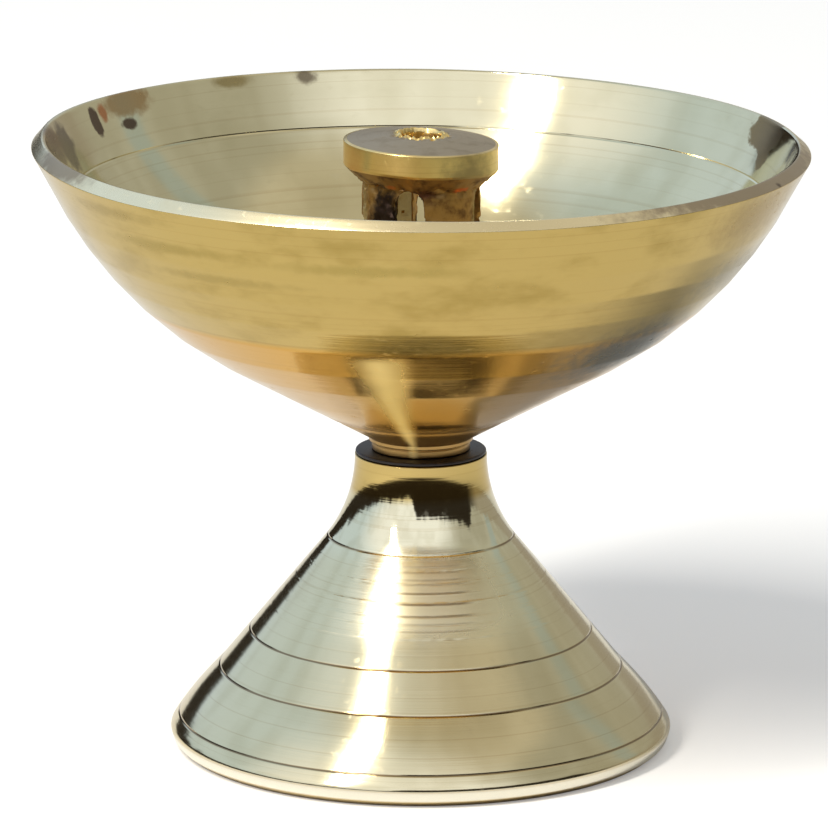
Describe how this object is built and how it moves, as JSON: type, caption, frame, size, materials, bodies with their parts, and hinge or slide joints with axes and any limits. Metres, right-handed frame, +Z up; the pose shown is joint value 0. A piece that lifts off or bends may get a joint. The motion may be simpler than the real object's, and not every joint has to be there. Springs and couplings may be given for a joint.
{
  "type": "diya",
  "caption": "Turned brass oil lamp: a wide open bowl with a caged wick holder in its middle, screwed onto a flared hollow pedestal.",
  "frame": {"origin": "centre of the foot ring, on the surface the lamp stands on", "axes": "+Z up along the turning axis; the first window of the wick holder faces -Y, a little towards -X"},
  "size_m": [0.08, 0.08, 0.0648],
  "materials": {
    "pale_brass": "turned and polished, fine lathe rings",
    "golden_brass": "satin turned outside, polished inside",
    "cast_brass": "rough cast legs, turned cap",
    "stud_brass": "threaded rod",
    "fastener_steel": "zinc plated",
    "black_rubber": "matt",
    "fibre": "pressed red fibre"
  },
  "bodies": {
    "base": {"pedestal": "pale_brass", "threaded_stud": "stud_brass"},
    "neck_ring": {"neck_washer": "black_rubber"},
    "oil_bowl": {"bowl": "golden_brass"},
    "seal_ring": {"holder_seal": "fibre"},
    "holder": {"wick_holder": "cast_brass"},
    "washer": {"plain_washer": "fastener_steel"},
    "nut": {"lock_nut": "fastener_steel"}
  },
  "joints": [
    {"name": "bowl_turn", "type": "hinge", "parent": "base", "child": "neck_ring", "pos_m": [0, 0, 0.0309], "axis": [0, 0, 1], "range_deg": [0, 1080]},
    {"name": "bowl_lift", "type": "slide", "parent": "neck_ring", "child": "oil_bowl", "axis": [0, 0, 1], "range_m": [0, 0.0024]},
    {"name": "holder_turn", "type": "hinge", "parent": "oil_bowl", "child": "seal_ring", "pos_m": [0, 0, 0.0366], "axis": [0, 0, 1], "range_deg": [0, 1080]},
    {"name": "holder_lift", "type": "slide", "parent": "seal_ring", "child": "holder", "axis": [0, 0, 1], "range_m": [0, 0.0024]},
    {"name": "nut_travel", "type": "slide", "parent": "base", "child": "washer", "axis": [0, 0, -1], "range_m": [0, 0.004]},
    {"name": "nut_turn", "type": "hinge", "parent": "washer", "child": "nut", "pos_m": [0, 0, 0.0184], "axis": [0, 0, -1], "range_deg": [0, 1800]}
  ],
  "couplings": [
    {"joint": "bowl_turn", "follows": "bowl_lift", "rad_per_m": 7854},
    {"joint": "holder_turn", "follows": "holder_lift", "rad_per_m": 7854},
    {"joint": "nut_turn", "follows": "nut_travel", "rad_per_m": 7854}
  ]
}
